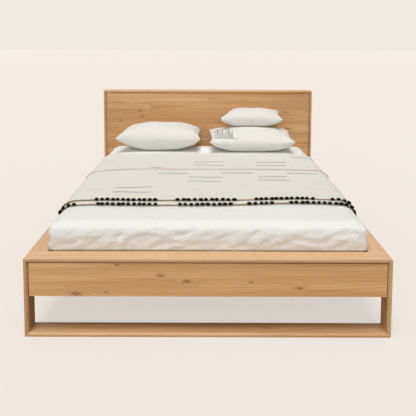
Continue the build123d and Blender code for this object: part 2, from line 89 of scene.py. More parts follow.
class Graph(Nodes):
    """The nodes of a new material, with one Principled shader."""

    def __init__(self, name):
        self.material = bpy.data.materials.new(name)
        self.material.use_nodes = True
        super().__init__(self.material.node_tree)
        self.shader = self.add("ShaderNodeBsdfPrincipled")
        self.add("ShaderNodeOutputMaterial", {"Surface": self.shader.outputs[0]})
        self.place = self.add("ShaderNodeTexCoord").outputs["Object"]

    def mapped(self, vector, scale=(1, 1, 1), turn=(0, 0, 0), move=(0, 0, 0)):
        inputs = {"Vector": vector, "Scale": scale, "Rotation": turn, "Location": move}
        return self.add("ShaderNodeMapping", inputs).outputs[0]

    def noise(self, vector, scale, detail=3.0, roughness=0.5, distortion=0.0):
        inputs = {"Vector": vector, "Scale": scale, "Detail": detail, "Roughness": roughness,
                  "Distortion": distortion}
        return self.add("ShaderNodeTexNoise", inputs).outputs["Fac"]

    def math(self, operation, first, second=0.0, third=0.0, clamp=False):
        inputs = {0: first, 1: second, 2: third}
        return self.add("ShaderNodeMath", inputs, operation=operation, use_clamp=clamp).outputs[0]

    def fade(self, value, low, high, to_low=0.0, to_high=1.0):
        inputs = {0: value, 1: low, 2: high, 3: to_low, 4: to_high}
        return self.add("ShaderNodeMapRange", inputs, interpolation_type="SMOOTHSTEP").outputs[0]

    def split(self, vector):
        """The X, Y and Z sockets of a vector."""
        return list(self.add("ShaderNodeSeparateXYZ", {0: vector}).outputs)

    def combine(self, x=0.0, y=0.0, z=0.0):
        return self.add("ShaderNodeCombineXYZ", {0: x, 1: y, 2: z}).outputs[0]

    def total(self, first, second):
        """The sum of two vectors."""
        return self.add("ShaderNodeVectorMath", {0: first, 1: second}, operation="ADD").outputs[0]

    def mix(self, factor, first, second):
        inputs = {0: factor, 6: first, 7: second}
        return self.add("ShaderNodeMix", inputs, data_type="RGBA", blend_type="MIX").outputs[2]

    def bump(self, height, distance, strength=1.0, normal=None):
        inputs = {"Height": height, "Distance": distance, "Strength": strength}
        if normal is not None:
            inputs["Normal"] = normal
        return self.add("ShaderNodeBump", inputs).outputs[0]

    def finish(self, color, roughness, normal=None, **more):
        """Feed the shader; more are its other inputs, with underscores for spaces."""
        self.feed(self.shader, {"Base Color": color, "Roughness": roughness})
        if normal is not None:
            self.feed(self.shader, {"Normal": normal})
        self.feed(self.shader, {key.replace("_", " "): value for key, value in more.items()})
        return self.material


def shade(color, factor):
    return (color[0] * factor, color[1] * factor, color[2] * factor, 1.0)


KNOT_HALO, KNOT_HEART = (0.47, 0.185, 0.060, 1), (0.29, 0.096, 0.030, 1)
# How object space is turned so that the grain runs along the texture's X.
GRAIN_TURNS = {"X": (0, 0, 0), "Y": (0, 0, math.pi / 2), "Z": (0, math.pi / 2, 0)}


def strip_grain(g, along, staves, seed):
    """A tone for each glued strip, and the grain's place shifted by it so that strips differ."""
    top, width, length = staves
    x, _, z = g.split(g.place)
    row = g.math("FLOOR", g.math("DIVIDE", g.math("SUBTRACT", top, z), width))
    start = g.math("MULTIPLY", g.math("SINE", g.math("MULTIPLY", row, 12.9)), length)
    column = g.math("FLOOR", g.math("DIVIDE", g.math("ADD", x, start), length))
    code = g.combine(row, column, seed)
    tone = g.add("ShaderNodeTexWhiteNoise", {0: code}, noise_dimensions="3D").outputs[0]
    shift = g.combine(x=g.math("MULTIPLY", tone, 3.0), z=g.math("MULTIPLY", tone, 0.9))
    return tone, g.total(along, shift)


def knot_masks(g, knots, grain):
    """Hearts and halos of the knots, each from 0 to 1, drawn out along the grain."""
    heart, halo = 0.0, 0.0
    for place, radius in knots:
        stretch = [1 / radius] * 3
        stretch["XYZ".index(grain)] *= 0.40
        move = [-p * s for p, s in zip(place, stretch)]
        local = g.mapped(g.place, scale=stretch, move=move)
        wobble = g.noise(local, 1.7, 3.0)
        distance = g.add("ShaderNodeVectorMath", {0: local}, operation="LENGTH").outputs["Value"]
        ragged = g.math("MULTIPLY", g.math("SUBTRACT", wobble, 0.5), 1.6)
        distance = g.math("ADD", distance, ragged)
        heart = g.math("MAXIMUM", heart, g.fade(distance, 0.4, 1.0, 1.0, 0.0))
        halo = g.math("MAXIMUM", halo, g.fade(distance, 0.5, 2.6, 1.0, 0.0))
    return heart, halo


def growth_rings(g, bent):
    """Rings round an axis along the grain, pushed about so that they part and close."""
    drift = g.noise(g.mapped(bent, scale=(0.55, 3.2, 3.2)), 1.0, 2.0)
    push = g.combine(y=g.math("MULTIPLY", drift, 0.16), z=g.math("MULTIPLY", drift, 0.11))
    place = g.mapped(g.total(bent, push), scale=(0.05, 1, 1))
    inputs = {"Vector": place, "Scale": 38.0, "Distortion": 2.2, "Detail": 3.0, "Detail Scale": 1.2}
    wave = g.add("ShaderNodeTexWave", inputs, wave_type="RINGS", rings_direction="X",
                 wave_profile="SAW")
    return wave.outputs["Fac"]


def wood(name, grain, light, dark, seed, knots=(), staves=None, contrast=1.0, rough=0.42,
         polish=0.3, sheen=0.0):
    """Sawn board: growth rings and streaks that run along the grain axis, pores and knots.

    knots are (place, radius); staves is (top, width, length) of glued strips, or None.
    """
    g = Graph(name)
    offset = (seed * 1.37, seed * 0.61, seed * 0.23)
    along = g.mapped(g.place, turn=GRAIN_TURNS[grain], move=offset)
    strip_tone, strip_weight = 0.5, 0.0
    if staves:
        strip_tone, along = strip_grain(g, along, staves, seed)
        strip_weight = 0.55
    knot_heart, knot_halo = knot_masks(g, knots, grain)
    swirl = g.combine(y=g.math("MULTIPLY", knot_halo, 0.035),
                      z=g.math("MULTIPLY", knot_halo, 0.025))
    bent = g.total(along, swirl)

    rings = growth_rings(g, bent)
    streak = g.noise(g.mapped(bent, scale=(0.9, 26, 26)), 1.0, 4.0, 0.6)
    broad = g.noise(g.mapped(bent, scale=(0.5, 5.5, 5.5)), 1.0, 2.0)
    fibre = g.noise(g.mapped(bent, scale=(2.4, 110, 110)), 1.0, 3.0, 0.6)
    pores = g.noise(g.mapped(bent, scale=(9, 330, 330)), 1.0, 2.0, 0.6)
    pore_mark = g.fade(pores, 0.55, 0.70)

    tone = g.math("MULTIPLY", rings, 0.34 * contrast)
    parts = ((g.fade(streak, 0.34, 0.66), 0.32), (g.fade(broad, 0.34, 0.66), 0.50),
             (g.fade(fibre, 0.35, 0.65), 0.20), (strip_tone, strip_weight))
    for part, weight in parts:
        centred = g.math("SUBTRACT", part, 0.5)
        tone = g.math("MULTIPLY_ADD", centred, weight * contrast, tone)
    tone = g.math("ADD", tone, 0.46 - 0.17 * contrast, clamp=True)

    color = g.mix(tone, shade(light, 1.0), shade(dark, 1.0))
    color = g.mix(g.math("MULTIPLY", pore_mark, 0.28), color, shade(dark, 0.62))
    color = g.mix(g.math("MULTIPLY", knot_halo, 0.36), color, KNOT_HALO)
    color = g.mix(g.math("MULTIPLY", knot_heart, 0.66), color, KNOT_HEART)

    uneven = g.math("ADD", streak, g.math("MULTIPLY", pore_mark, 0.6))
    roughness = g.fade(uneven, 0.3, 1.1, rough - 0.05, rough + 0.12)
    relief = g.math("SUBTRACT", g.math("MULTIPLY", rings, 0.25), pore_mark)
    return g.finish(color, roughness, g.bump(relief, 0.00025, 0.5), Sheen_Weight=sheen,
                    Sheen_Roughness=0.4, Specular_IOR_Level=polish)


def metal(name, color, roughness, metallic, brushed=False):
    """Sheet or bar steel with fine handling marks; brushed draws them out along Y."""
    g = Graph(name)
    marks = g.noise(g.mapped(g.place, scale=(60, 3 if brushed else 60, 60)), 4.0, 4.0, 0.6)
    tint = g.mix(g.fade(marks, 0.3, 0.8), shade(color, 1.0), shade(color, 0.78))
    rough = g.fade(marks, 0.25, 0.8, roughness - 0.06, roughness + 0.10)
    return g.finish(tint, rough, g.bump(marks, 0.0002, 0.4), Metallic=metallic)


def rubber(name):
    g = Graph(name)
    grain = g.noise(g.place, 700.0, 2.0)
    color = g.mix(grain, (0.012, 0.012, 0.012, 1), (0.03, 0.03, 0.03, 1))
    return g.finish(color, 0.75, g.bump(grain, 0.0002, 0.5))


def cloth(name, color, pitch, relief, tint=0.93, crease=0.0, slub=0.0, sheen=0.25, rough=0.9,
          wrap_edge=None):
    """Plain weave of a given thread pitch, with slubs, faint unevenness and fine creases.

    Where wrap_edge is given, a strip beside that x is coloured grey, like wound thread.
    """
    g = Graph(name)
    turns = 2 * math.pi / pitch
    warp, weft, rise = (g.math("SINE", axis)
                        for axis in g.split(g.mapped(g.place, scale=(turns, turns, turns))))
    weave = g.math("MULTIPLY", warp, g.math("ADD", weft, rise))
    patches = g.noise(g.place, 5.0, 3.0)
    thread_along = g.noise(g.mapped(g.place, scale=(14, 260, 260)), 1.0, 2.0)
    thread_across = g.noise(g.mapped(g.place, scale=(260, 14, 14)), 1.0, 2.0)
    threads = g.math("MULTIPLY", g.math("ADD", thread_along, thread_across), 0.5)
    slubs = g.fade(threads, 0.38, 0.62)
    tone = g.math("MULTIPLY_ADD", slubs, slub, g.math("MULTIPLY", patches, 0.45))
    base = g.mix(tone, shade(color, 1.0), shade(color, tint))
    if wrap_edge is not None:
        solid, gone = wrap_edge + 0.020, wrap_edge + 0.026
        mask = g.fade(g.split(g.place)[0], solid, gone, 1.0, 0.0)
        base = g.mix(g.math("MULTIPLY", mask, 0.8), base, WRAP_GREY)
    normal = g.bump(weave, relief, 0.6)
    normal = g.bump(threads, relief * 3, 0.5, normal)
    if crease:
        slanted = g.mapped(g.place, turn=(0, 0.35, 0))
        rumple = g.noise(g.mapped(slanted, scale=(11, 17, 42)), 1.0, 4.0, 0.55, 0.6)
        normal = g.bump(rumple, crease, 1.0, normal)
    return g.finish(base, rough, normal, Sheen_Weight=sheen, Sheen_Roughness=0.5)


def yarn(name, color, tint=0.8):
    """The material of threads and cords: cloth with a 2 mm pitch."""
    return cloth(name, color, pitch=0.0020, relief=0.0005, tint=tint, slub=0.5)


WRAP_GREY = (0.17, 0.18, 0.20, 1)
OAK_LIGHT, OAK_DARK = (0.82, 0.512, 0.262), (0.54, 0.265, 0.100)
PINE_LIGHT, PINE_DARK = (0.74, 0.54, 0.31), (0.56, 0.36, 0.17)
BIRCH_LIGHT, BIRCH_DARK = (0.78, 0.60, 0.39), (0.62, 0.43, 0.24)

headboard_knots = (
    ((-0.560, 1.028, 0.785), 0.006),
    ((-0.535, 1.028, 0.744), 0.009),
    ((-0.717, 1.028, 0.710), 0.006),
    ((0.646, 1.028, 0.781), 0.006),
    ((0.660, 1.028, 0.644), 0.009),
    ((0.150, 1.028, 0.560), 0.007),
)
front_knots = (
    ((-0.614, -1.116, 0.206), 0.013),
    ((-0.474, -1.116, 0.213), 0.006),
    ((-0.422, -1.116, 0.345), 0.005),
    ((-0.220, -1.116, 0.293), 0.007),
    ((-0.098, -1.116, 0.266), 0.009),
    ((0.200, -1.116, 0.262), 0.005),
    ((0.425, -1.116, 0.235), 0.009),
)
plank_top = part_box("headboard_plank_upper")[1].z
staves = (plank_top, 0.0655, 1.45)

# Node: the grain's axis, a seed, knots, staves, and how light the board is beside the others. That
# last tone is partly each board's own and partly painted light and shade: the drawer front is set
# lighter and the stretchers darker, as light falls on them.
wood_by_node = {
    "drawer_front": ("X", 3.1, front_knots, None, 1.22),
    "foot_top_board": ("X", 1.2, (), None, 0.95),
    "foot_bottom_stretcher": ("X", 2.3, (((0.28, -1.07, 0.018), 0.006),), None, 0.90),
    "head_top_board": ("X", 4.4, (), None, 1.05),
    "head_bottom_stretcher": ("X", 5.9, (), None, 0.92),
    "foot_left_leg": ("Z", 6.1, (), None, 0.92),
    "foot_right_leg": ("Z", 7.7, (), None, 0.92),
    "head_left_leg": ("Z", 8.2, (), None, 0.95),
    "head_right_leg": ("Z", 9.6, (), None, 0.95),
    "left_rail_top": ("Y", 10.3, (((-0.81, -0.35, 0.374), 0.006),), None, 0.92),
    "right_rail_top": ("Y", 11.8, (((0.82, 0.20, 0.374), 0.007),), None, 0.90),
    "left_rail_apron": ("Y", 12.5, (((-0.847, -0.42, 0.26), 0.008),), None, 1.0),
    "right_rail_apron": ("Y", 13.9, (((0.847, 0.35, 0.29), 0.008),), None, 1.0),
}
for part in ("upper", "middle", "lower"):
    wood_by_node[f"headboard_plank_{part}"] = ("X", 15.0, headboard_knots, staves, 0.97)


# The specular level and the sheen of the boards that lie flat on top, and of all the others.
top_boards = ("foot_top_board", "left_rail_top", "right_rail_top")
TOP_POLISH, OTHER_POLISH = (0.85, 0.25), (0.3, 0.0)


def paint(node, material):
    """Give a CAD node its finished material, in the slots that it already has."""
    for slot in nodes[node].material_slots:
        slot.material = material


def finish_hard_parts():
    """Oak for the boards that face out, pine and birch behind them, and metal and rubber."""
    for name, (grain, seed, knots, strips, level) in wood_by_node.items():
        # level is partly painted light and shade, besides the board's own tone.
        light, dark = shade(OAK_LIGHT, level), shade(OAK_DARK, level)
        polish, sheen = TOP_POLISH if name in top_boards else OTHER_POLISH
        paint(name, wood(f"oak_{name}", grain, light, dark, seed, knots, strips, polish=polish,
                         sheen=sheen))
    pine = {axis: wood(f"pine_{axis}", axis, PINE_LIGHT, PINE_DARK, 20.0 + index, rough=0.6)
            for index, axis in enumerate("XYZ")}
    birch = {axis: wood(f"birch_{axis}", axis, BIRCH_LIGHT, BIRCH_DARK, 30.0 + index,
                        contrast=0.6, rough=0.5)
             for index, axis in enumerate("XYZ")}
    zinc = metal("zinc_plate", (0.62, 0.62, 0.60), roughness=0.35, metallic=1.0)
    slide_zinc = metal("rolled_zinc", (0.60, 0.61, 0.62), 0.30, metallic=1.0, brushed=True)
    black = metal("black_powder_coat", (0.02, 0.02, 0.021), roughness=0.55, metallic=0.0)
    black_rubber = rubber("moulded_rubber")
    steel_slots = {"zinc_steel": zinc, "slide_steel": slide_zinc, "black_steel": black,
                   "black_rubber": black_rubber}
    for entry in frame["record"]["subparts"]:
        node, slot_name = entry["node"], entry["material_slot"]
        low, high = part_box(node)
        size = high - low
        axis = "XYZ"[list(size).index(max(size))]
        if slot_name in steel_slots:
            paint(node, steel_slots[slot_name])
        elif slot_name == "inner_pine":
            grain = {"headboard_battens": "Z", "slats": "X"}.get(node, axis)
            paint(node, pine[grain])
        elif slot_name == "birch_ply":
            paint(node, birch[axis])


finish_hard_parts()


# ---------------------------------------------------------------------------------------------
# Shapes that the soft pieces start from
# ---------------------------------------------------------------------------------------------
def smooth(value):
    """Ease from 0 to 1 over the same range."""
    value = min(1.0, max(0.0, value))
    return value * value * (3.0 - 2.0 * value)


def new_object(name, points, faces, material):
    mesh = bpy.data.meshes.new(name)
    mesh.from_pydata([tuple(p) for p in points], [], faces)
    mesh.update()
    mesh.shade_smooth()
    obj = bpy.data.objects.new(name, mesh)
    scene.collection.objects.link(obj)
    mesh.materials.append(material)
    return obj


def read_points(obj, what="co"):
    values = np.zeros(len(obj.data.vertices) * 3, np.float32)
    obj.data.vertices.foreach_get(what, values)
    return values.reshape(-1, 3).astype(float)


def write_points(obj, points):
    obj.data.vertices.foreach_set("co", np.asarray(points, np.float32).ravel())
    obj.data.update()


def read_normals(obj):
    return read_points(obj, "normal")


def apply_modifiers(obj):
    """Leave the evaluated shape as the object's own mesh."""
    depsgraph = bpy.context.evaluated_depsgraph_get()
    made = bpy.data.meshes.new_from_object(obj.evaluated_get(depsgraph), depsgraph=depsgraph)
    obj.modifiers.clear()
    old, obj.data = obj.data, made
    made.name = obj.name
    bpy.data.meshes.remove(old)


def subdivide(obj):
    modifier = obj.modifiers.new("subdivision", "SUBSURF")
    modifier.levels = modifier.render_levels = 1
    apply_modifiers(obj)


def thicken(obj, thickness, side):
    """Give a sheet its thickness; side -1 is inwards from the shown face, 0 is to both sides."""
    modifier = obj.modifiers.new("thickness", "SOLIDIFY")
    modifier.thickness = thickness
    modifier.offset = side
    apply_modifiers(obj)


def grid_faces(rows, columns):
    """Quads of a grid whose points lie row after row, each row one point wider than its quads."""
    wide = columns + 1
    faces = []
    for row in range(rows):
        for column in range(columns):
            first = row * wide + column
            faces.append((first, first + 1, first + wide + 1, first + wide))
    return faces


def capped(shift, most):
    """Vectors no longer than most, which is one length or a column of them."""
    length = np.linalg.norm(shift, axis=1, keepdims=True)
    return shift * np.minimum(1.0, most / np.maximum(length, 1e-9))


def rounded_box(low, high, step, radius, open_below=False, square=0.0):
    """Points and quads of a box with rounded edges, gridded at about one step.

    square makes its upright corners squarer towards the bottom.
    """
    low, high = Vector(low), Vector(high)
    counts = [max(3, round((b - a) / step)) for a, b in zip(low, high)]
    core_low = low + Vector((radius, radius, 0.0 if open_below else radius))
    core_high = high - Vector((radius, radius, radius))
    index, points, faces = {}, [], []

    def point(*cell):
        if cell not in index:
            raw = [a + (b - a) * n / c for a, b, n, c in zip(low, high, cell, counts)]
            core = Vector(min(max(v, a), b) for v, a, b in zip(raw, core_low, core_high))
            out = Vector(raw) - core
            power = 2.0 + square * (1.0 - (raw[2] - low.z) / (high.z - low.z))
            reach = sum(abs(v) ** power for v in out) ** (1.0 / power)
            index[cell] = len(points)
            points.append(core + out * (radius / reach) if reach > 0 else Vector(raw))
        return index[cell]

    for axis in range(3):
        across, along = (axis + 1) % 3, (axis + 2) % 3
        for end in (0, counts[axis]):
            if axis == 2 and end == 0 and open_below:
                continue
            for i in range(counts[across]):
                for j in range(counts[along]):
                    quad = []
                    for di, dj in ((0, 0), (1, 0), (1, 1), (0, 1)):
                        cell = [0, 0, 0]
                        cell[axis], cell[across], cell[along] = end, i + di, j + dj
                        quad.append(point(*cell))
                    faces.append(quad if end else quad[::-1])
    return points, faces


def add_weights(obj, name, weights):
    group = obj.vertex_groups.new(name=name)
    for number, weight in enumerate(weights):
        group.add([number], float(weight), "REPLACE")


def simulate(obj, frames, pressure=0.0, gravity=0.0, growth=None, pins=None, stiff=15.0,
             bend=0.5, mass=0.3, collide=False, quality=5):
    """growth is (vertex weights, the most that the cloth grows); pins are vertex weights.
    """
    modifier = obj.modifiers.new("cloth", "CLOTH")
    cloth_settings = modifier.settings
    cloth_settings.quality = quality
    cloth_settings.mass = mass
    cloth_settings.tension_stiffness = cloth_settings.compression_stiffness = stiff
    cloth_settings.shear_stiffness = stiff * 0.5
    cloth_settings.bending_stiffness = bend
    cloth_settings.tension_damping = cloth_settings.compression_damping = 8.0
    cloth_settings.air_damping = 2.0
    cloth_settings.effector_weights.gravity = gravity
    if pressure:
        cloth_settings.use_pressure = True
        cloth_settings.uniform_pressure_force = pressure
    if growth is not None:
        weights, most = growth
        add_weights(obj, "growth", weights)
        cloth_settings.vertex_group_shrink = "growth"
        cloth_settings.shrink_min = 0.0
        cloth_settings.shrink_max = -most
    if pins is not None:
        add_weights(obj, "pins", pins)
        cloth_settings.vertex_group_mass = "pins"
    modifier.collision_settings.use_collision = collide
    modifier.collision_settings.distance_min = 0.003
    modifier.collision_settings.use_self_collision = False
    modifier.point_cache.frame_start = 1
    modifier.point_cache.frame_end = frames
    for frame_number in range(1, frames + 1):
        scene.frame_set(frame_number)
    apply_modifiers(obj)
    scene.frame_set(1)
    obj.vertex_groups.clear()


# ---------------------------------------------------------------------------------------------
# Bedding
# ---------------------------------------------------------------------------------------------
DUVET_WHITE = (0.845, 0.860, 0.840)
THROW_CREAM = (0.87, 0.860, 0.785)
PILLOW_WHITE = (0.82, 0.810, 0.770)
TAN = (0.60, 0.38, 0.22)


def make_mattress():
    """Foam mattress with rounded edges and a quilted top, a little inside its box."""
    edge = 0.030
    squeezed = Vector((0.009, 0.009, 0.0))
    low, high = MATTRESS_LOW + squeezed, MATTRESS_HIGH - squeezed - Vector((0, 0, 0.008))
    points, faces = rounded_box(low, high, 0.022, edge)
    quilt = 0.085
    for p in points:
        if p.z > high.z - 0.002:
            one_way = math.sin(math.pi * (p.x + p.y) / quilt)
            other_way = math.sin(math.pi * (p.x - p.y) / quilt)
            fold = abs(one_way * other_way)
            p.z -= 0.004 * (1.0 - min(1.0, fold * 2.5))
    ticking = cloth("mattress_ticking_weave", (0.80, 0.79, 0.76), 0.0016, 0.0003)
    body = new_object("mattress_body", points, faces, ticking)
    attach(body, ROOT)
    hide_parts("mattress")


def bulge_weights(normals):
    """How much each point of the duvet belongs to its puffed sides, from 0 on top to 1."""
    return [smooth((0.95 - n[2]) / 0.5) for n in normals]


def ridged(place, along, across, turn, seed):
    """Soft creases that run at an angle in the plane of two coordinates."""
    u = place[0] * math.cos(turn) + place[1] * math.sin(turn)
    v = place[1] * math.cos(turn) - place[0] * math.sin(turn)
    bend = noise.noise(Vector((u * along * 0.7, v * along, seed + 4.0)))
    value = noise.noise(Vector((u * along + seed, v * across + bend * 1.6, seed)))
    return 1.0 - abs(value) * 2.0


def side_lift(across, height, low, high, side):
    """How far the duvet's creases lift a point; side is 0 on top and 1 where it hangs."""
    crease = ridged((across, height), 3.2, 17.0, 0.30, 2.0)
    pucker = ridged((across, height), 9.0, 30.0, 0.12, 7.0)
    fine = ridged((across, height), 8.0, 46.0, 0.22, 11.0)
    slant = ridged((across, height), 5.0, 26.0, 0.42, 23.0)
    low_down = smooth((high.z - height) / 0.09)
    above_hem = smooth((height - low.z) / 0.030)
    lift = side * low_down * (0.0060 * crease + 0.0060 * fine + 0.0062 * slant - 0.006)
    lift += side * 0.0034 * pucker
    return max(lift, -0.005) * above_hem


def crease_duvet(duvet, low, high):
    """Creases down the sides, calm swells on top, and a fold pushed up between the pillows."""
    points, normals = read_points(duvet), read_normals(duvet)
    fold_x = (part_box("left_pillow")[1].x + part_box("right_pillow")[0].x) / 2
    fold_y, fold_half_width, fold_half_length, fold_rise = 0.72, 0.075, 0.11, 0.030
    above_sides = 0.45
    for number, (p, n) in enumerate(zip(points, normals)):
        side = smooth((0.93 - n[2]) / 0.45)
        across = p[0] if abs(n[1]) > abs(n[0]) else -p[1]
        lift = side_lift(across, p[2], low, high, side)
        calm = noise.noise(Vector((p[0] * 3.0, p[1] * 3.0, 1.0)))
        lift += (1.0 - side) * 0.0022 * calm
        moved = p + n * lift
        near = math.hypot((moved[0] - fold_x) / fold_half_width,
                          (moved[1] - fold_y) / fold_half_length)
        if near < 1.0 and moved[2] > above_sides:
            moved[2] += fold_rise * smooth(1.3 * (1.0 - near))
        points[number] = moved
    write_points(duvet, points)


def make_duvet():
    """White cover that puffs over the mattress, smooth on top and creased down its sides."""
    reach = Vector((0.005, 0.005, 0.0))
    low = DUVET_LOW + reach
    high = DUVET_HIGH - reach - Vector((0, 0, 0.010))
    points, faces = rounded_box(low, high, 0.021, 0.062, open_below=True, square=6.0)
    white = cloth("duvet_cotton_weave", DUVET_WHITE, 0.0011, 0.0002, 0.975, 0.0044, 0.06)
    duvet = new_object("duvet_cover", points, faces, white)
    start, normals = read_points(duvet), read_normals(duvet)
    weights = bulge_weights(normals)
    pins = [1.0 if p[2] < low.z + 0.012 else 0.0 for p in start]
    simulate(duvet, 22, pressure=1.6, growth=(weights, 0.055), pins=pins, stiff=12.0, bend=0.12,
             mass=0.25)
    moved = read_points(duvet)
    shift = capped(moved - start, 0.004 + 0.014 * np.array(weights)[:, None])
    inward = np.minimum(0.0, (shift * normals).sum(axis=1, keepdims=True) + 0.001)
    write_points(duvet, start + shift - normals * inward)
    subdivide(duvet)
    crease_duvet(duvet, low, high)
    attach(duvet, ROOT)
    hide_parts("duvet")
    return duvet


class Throw:
    """The doubled throw's sheet, and the places on it where its trims are sewn."""

    step = 0.020
    flat_width = 1.72
    thickness = 0.0022

    def __init__(self, under):
        self.front, self.back = THROW_LOW.y, THROW_HIGH.y
        self.upper_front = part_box("pompom_trim")[1].y
        self.columns = round(self.flat_width / self.step)
        self.rows = round((self.back - self.front) / self.step)
        self.top, self.side = (read_points(under)[:, axis].max() + 0.009 for axis in (2, 0))
        self.lay(under)
        self.sew()

    def start_point(self, across, y):
        """Where a point of the flat sheet starts: over the top, round the edge and down."""
        radius = 0.062
        flat_half = self.side - radius
        beyond = abs(across) - flat_half
        if beyond < 0:
            return Vector((across, y, self.top))
        turn = min(beyond / radius, math.pi / 2)
        drop = max(0.0, beyond - radius * math.pi / 2)
        x = flat_half + radius * math.sin(turn)
        z = self.top - radius * (1.0 - math.cos(turn)) - drop
        return Vector((math.copysign(x, across), y, z))

    def skew(self, across, y):
        """How far the free edges stray up the bed towards the right."""
        near_front = 1.0 - smooth((y - self.front) / 0.5)
        return 0.040 * smooth((across - 0.05) / 0.45) * near_front

    def lay(self, under):
        """Drop one layer over the bed, and lift whatever sank into it."""
        points = []
        wide = self.columns + 1
        for row in range(self.rows + 1):
            y = self.front + (self.back - self.front) * row / self.rows
            for column in range(wide):
                across = self.flat_width * (column / self.columns - 0.5)
                sway = 0.004 * math.sin(across * 7.0 + row * 0.15)
                points.append(self.start_point(across, y + sway + self.skew(across, y)))
        self.material = cloth("throw_handloom_weave", THROW_CREAM, 0.0042, 0.0007, 0.90, 0.0014,
                              0.5, 0.35)
        faces = grid_faces(self.rows, self.columns)
        sheet = new_object("throw_single", points, faces, self.material)
        collider = under.modifiers.new("collision", "COLLISION")
        under.collision.thickness_outer = 0.004
        under.collision.cloth_friction = 30.0
        simulate(sheet, 26, gravity=1.0, stiff=12.0, bend=0.3, mass=0.4, collide=True, quality=6,
                 growth=(np.ones(len(points)), 0.006))
        under.modifiers.remove(collider)
        grid = read_points(sheet)
        bpy.data.objects.remove(sheet)
        tree = BVHTree.FromObject(under, bpy.context.evaluated_depsgraph_get())
        clear = 0.003
        for number, p in enumerate(grid):
            near, normal, _, _ = tree.find_nearest(Vector(p))
            depth = (Vector(p) - near).dot(normal)
            if depth < clear:
                grid[number] = Vector(p) + normal * (clear - depth)
        self.grid = grid.reshape(self.rows + 1, wide, 3)

    def normals(self):
        """Unit normals of the laid grid, smoothed."""
        along = np.gradient(self.grid, axis=0)
        across = np.gradient(self.grid, axis=1)
        normal = np.cross(across, along)
        normal /= np.maximum(np.linalg.norm(normal, axis=2, keepdims=True), 1e-9)
        for _ in range(3):
            normal[1:-1] = (normal[:-2] + normal[1:-1] + normal[2:]) / 3
            normal[:, 1:-1] = (normal[:, :-2] + normal[:, 1:-1] + normal[:, 2:]) / 3
        return normal / np.linalg.norm(normal, axis=2, keepdims=True)

    def layer_gap(self):
        """How far the upper layer lies above the laid grid: creases, ripples and the seam."""
        least = 0.0042
        gap = np.zeros((self.rows + 1, self.columns + 1))
        for row in range(self.rows + 1):
            y = float(self.grid[row, self.columns // 2, 1])
            for column in range(self.columns + 1):
                across = self.flat_width * (column / self.columns - 0.5)
                crease = ridged((across, y), 1.1, 5.5, 0.05, 3.0)
                ripple = noise.noise(Vector((across * 2.3, y * 3.0, 8.0)))
                seam = math.exp(-((y - self.seam_line(across)) / 0.012) ** 2)
                gap[row, column] = 0.0065 + 0.0030 * crease + 0.0020 * ripple + 0.0035 * seam
        return np.maximum(gap, least)

    def sew(self):
        """Lay the lower layer, turn it at the head edge and bring it back above itself."""
        normal = self.normals()
        lower = self.grid + normal * 0.0015
        self.upper = self.grid + normal * self.layer_gap()[:, :, None]
        head = self.rows
        start_row = round((self.upper_front - self.front) / (self.back - self.front) * head)
        out = self.grid[head] - self.grid[head - 1]
        out /= np.linalg.norm(out, axis=1, keepdims=True)
        fold = (lower[head] + self.upper[head]) / 2 + out * 0.006
        strips = [*lower, fold, *self.upper[start_row:][::-1]]
        faces = grid_faces(len(strips) - 1, self.columns)
        sheet = new_object("throw_cloth_sheet", np.concatenate(strips), faces, self.material)
        subdivide(sheet)
        thicken(sheet, self.thickness, 0.0)
        self.sheet = sheet
        self.lower_edge, self.upper_edge = lower[0], self.upper[start_row]
        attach(sheet, ROOT)
        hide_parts("throw")

    def seam_line(self, across):
        """The y of the tan seam across the throw."""
        return 0.010 - 0.055 * smooth((-across - 0.30) / 0.6) + 0.004 * math.sin(across * 9.0)

    @staticmethod
    def cell(share, count):
        """Which of count steps a share of the way falls in, and how far into that step."""
        place = min(max(share * count, 0.0), count - 0.001)
        return int(place), place - int(place)

    def edge_point(self, edge, across):
        """A point of a free edge, by its distance from the middle along the cloth."""
        index, share = self.cell(across / self.flat_width + 0.5, self.columns)
        return Vector(edge[index] * (1 - share) + edge[index + 1] * share)

    def top_point(self, across, y):
        """A point of the upper layer by distance across and y."""
        i, a = self.cell((y - self.front) / (self.back - self.front), self.rows)
        j, b = self.cell(across / self.flat_width + 0.5, self.columns)
        near = self.upper[i, j] * (1 - b) + self.upper[i, j + 1] * b
        far = self.upper[i + 1, j] * (1 - b) + self.upper[i + 1, j + 1] * b
        return Vector(near * (1 - a) + far * a) + Vector((0, 0, self.thickness / 2))


def shares(count):
    """Evenly spaced shares from 0 to 1, both included."""
    return [number / count for number in range(count + 1)]


def thread(name, lines, radius, material, sides=8):
    """One mesh of round threads that follow the given lines of (point, width share)."""
    points, faces = [], []
    for line in lines:
        base = len(points)
        for number, (place, share) in enumerate(line):
            before = line[max(number - 1, 0)][0]
            after = line[min(number + 1, len(line) - 1)][0]
            heading = (after - before).normalized()
            side = heading.cross(Vector((0, 0, 1)))
            side = side.normalized() if side.length > 1e-4 else Vector((0, 1, 0))
            rise = side.cross(heading).normalized()
            for turn in range(sides):
                angle = 2 * math.pi * turn / sides
                offset = side * math.cos(angle) + rise * math.sin(angle)
                points.append(place + offset * radius * share)
        for number in range(len(line) - 1):
            for turn in range(sides):
                a = base + number * sides + turn
                b = base + number * sides + (turn + 1) % sides
                faces.append((a, b, b + sides, a + sides))
        faces.append([base + turn for turn in reversed(range(sides))])
        end = base + (len(line) - 1) * sides
        faces.append([end + turn for turn in range(sides)])
    made = new_object(name, points, faces, material)
    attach(made, ROOT)
    return made


